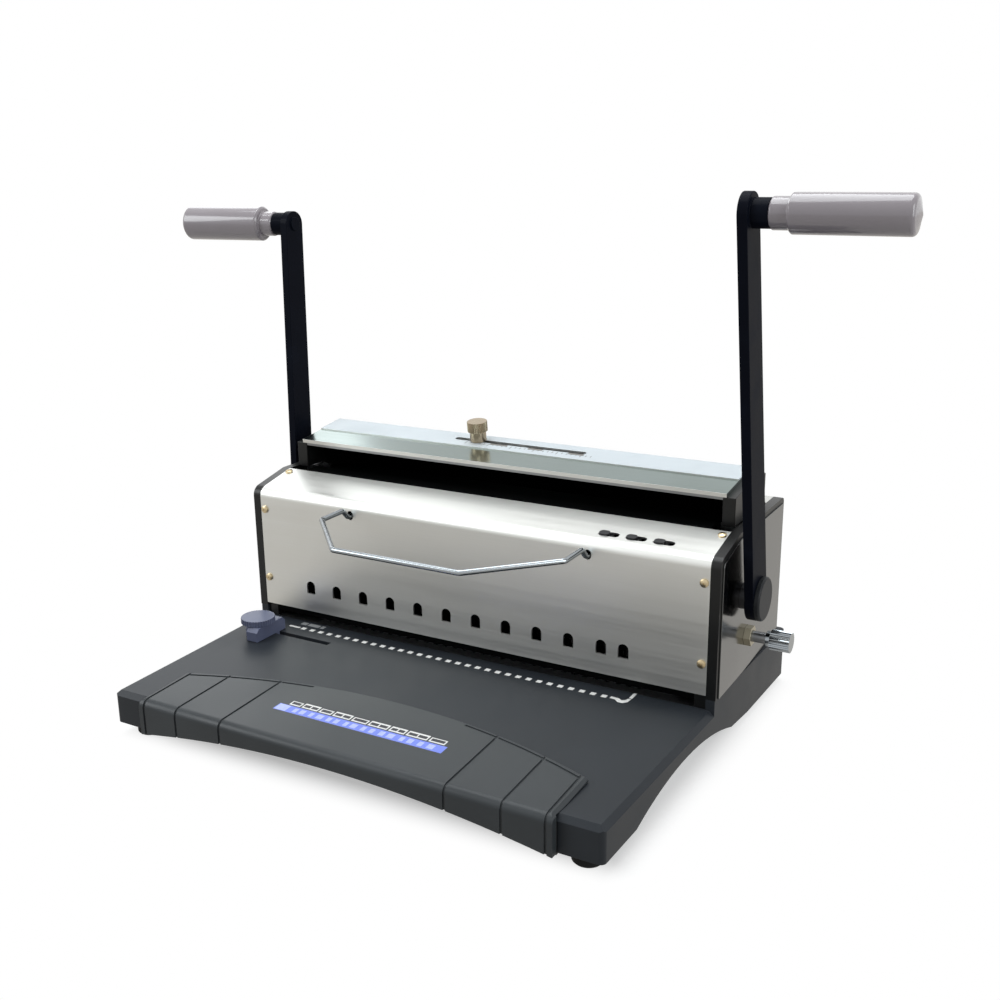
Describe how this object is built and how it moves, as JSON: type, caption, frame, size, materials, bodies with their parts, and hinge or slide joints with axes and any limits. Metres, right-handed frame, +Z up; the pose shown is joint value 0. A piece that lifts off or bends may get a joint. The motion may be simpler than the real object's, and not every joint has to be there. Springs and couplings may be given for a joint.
{
  "type": "wire binding machine",
  "caption": "Desk binding machine: a lever drives punch pins through a die, a second lever closes wire loops in a head on top; chip drawer, paper guides and wire hanger.",
  "frame": {"origin": "desk level under the middle of the machine, below the row of printed hole marks on the tray", "axes": "+X to the operator's right, +Y to the back of the machine, +Z up"},
  "size_m": [0.6074, 0.32, 0.3732],
  "materials": {
    "black_plastic": "fine moulded texture, satin black",
    "black_rubber": "matte black rubber",
    "black_steel": "satin black paint",
    "satin_steel": "fine brushed stainless, warm satin",
    "side_steel": "dark satin steel",
    "chrome_plate": "bright chrome",
    "pale_sheet": "pale satin sheet",
    "machined_steel": "machined steel",
    "dark_steel": "blackened tool steel",
    "brass_fittings": "pale brass, worn nickel",
    "grip_plastic": "satin mauve grey plastic",
    "guide_plastic": "satin blue grey plastic",
    "cap_metal": "satin grey paint",
    "tab_plastic": "black plastic"
  },
  "bodies": {
    "chassis": {"base_tray": "black_plastic", "bottom_pan": "black_steel", "rubber_feet": "black_rubber", "chassis_plate": "machined_steel", "left_end_frame": "black_steel", "right_end_frame": "black_steel", "left_side_panel": "side_steel", "right_side_panel": "side_steel", "front_cover": "satin_steel", "rear_cover": "satin_steel", "cover_screws": "brass_fittings", "shaft_bushes": "dark_steel", "ram_guides": "machined_steel", "die_plate": "machined_steel", "pin_guide_plate": "black_steel", "spindle_nut": "brass_fittings", "closer_anvil": "machined_steel", "closer_top_plate": "chrome_plate", "scale_sheet": "pale_sheet", "closer_hood": "black_steel", "closer_ears": "black_steel", "hanger_brackets": "machined_steel"},
    "chip_drawer": {"drawer_front": "black_plastic", "chip_bin": "black_plastic"},
    "punch_lever": {"punch_arm": "black_steel", "punch_grip": "grip_plastic", "punch_grip_rod": "machined_steel", "punch_pivot_cap": "cap_metal", "punch_shaft": "machined_steel", "punch_pinions": "machined_steel"},
    "punch_ram": {"punch_beam": "black_steel", "punch_racks": "machined_steel", "punch_pins": "dark_steel"},
    "closer_lever": {"closer_arm": "black_steel", "closer_grip": "grip_plastic", "closer_grip_rod": "machined_steel", "closer_pivot_cap": "cap_metal", "closer_shaft": "machined_steel", "closer_pinions": "machined_steel"},
    "closer_ram": {"closer_bar": "black_steel", "closer_racks": "machined_steel"},
    "selector": {"selector_slide": "machined_steel"},
    "thumbscrew": {"selector_thumbscrew": "brass_fittings"},
    "side_stop": {"edge_guide": "guide_plastic"},
    "side_stop_knob": {"edge_guide_knob": "guide_plastic"},
    "depth_dial": {"depth_spindle": "machined_steel", "depth_knob": "chrome_plate"},
    "margin_stop": {"back_gauge": "machined_steel"},
    "hanger": {"wire_hanger": "chrome_plate"},
    "release_1": {"pin_release_1": "tab_plastic"},
    "release_2": {"pin_release_2": "tab_plastic"},
    "release_3": {"pin_release_3": "tab_plastic"}
  },
  "joints": [
    {"name": "punch_lever_swing", "type": "hinge", "parent": "chassis", "child": "punch_lever", "pos_m": [0, 0.059, 0.102], "axis": [1, 0, 0], "range_deg": [0, 80]},
    {"name": "punch_ram_slide", "type": "slide", "parent": "chassis", "child": "punch_ram", "axis": [0, 0, -1], "range_m": [0, 0.0123]},
    {"name": "closer_lever_swing", "type": "hinge", "parent": "chassis", "child": "closer_lever", "pos_m": [0, 0.085, 0.079], "axis": [1, 0, 0], "range_deg": [0, 80]},
    {"name": "closer_ram_slide", "type": "slide", "parent": "chassis", "child": "closer_ram", "axis": [0, 0, 1], "range_m": [0, 0.0146]},
    {"name": "chip_drawer_slide", "type": "slide", "parent": "chassis", "child": "chip_drawer", "axis": [0, -1, 0], "range_m": [0, 0.15]},
    {"name": "selector_slide", "type": "slide", "parent": "chassis", "child": "selector", "axis": [1, 0, 0], "range_m": [-0.018, 0.091]},
    {"name": "thumbscrew_turn", "type": "hinge", "parent": "selector", "child": "thumbscrew", "pos_m": [-0.036, 0.09805, 0.1825], "axis": [0, -0.1271, 0.9919], "continuous": true},
    {"name": "side_stop_slide", "type": "slide", "parent": "chassis", "child": "side_stop", "axis": [1, 0, 0], "range_m": [0, 0.045]},
    {"name": "side_stop_knob_turn", "type": "hinge", "parent": "side_stop", "child": "side_stop_knob", "pos_m": [-0.1665, -0.026, 0.047], "axis": [0, 0, 1], "continuous": true},
    {"name": "depth_dial_turn", "type": "hinge", "parent": "chassis", "child": "depth_dial", "pos_m": [0.2, 0.07, 0.069], "axis": [1, 0, 0], "range_deg": [-25, 25]},
    {"name": "margin_stop_slide", "type": "slide", "parent": "chassis", "child": "margin_stop", "axis": [0, 1, 0], "range_m": [-0.0035, 0.0035]},
    {"name": "hanger_tip", "type": "hinge", "parent": "chassis", "child": "hanger", "pos_m": [0, 0.017, 0.1305], "axis": [-1, 0, 0], "range_deg": [0, 15]},
    {"name": "release_1_slide", "type": "slide", "parent": "chassis", "child": "release_1", "axis": [1, 0, 0], "range_m": [0, 0.006]},
    {"name": "release_2_slide", "type": "slide", "parent": "chassis", "child": "release_2", "axis": [1, 0, 0], "range_m": [0, 0.006]},
    {"name": "release_3_slide", "type": "slide", "parent": "chassis", "child": "release_3", "axis": [1, 0, 0], "range_m": [0, 0.006]}
  ],
  "couplings": [
    {"joint": "punch_ram_slide", "follows": "punch_lever_swing", "m_per_rad": 0.00875},
    {"joint": "closer_ram_slide", "follows": "closer_lever_swing", "m_per_rad": 0.0104},
    {"joint": "margin_stop_slide", "follows": "depth_dial_turn", "m_per_rad": 0.008}
  ]
}
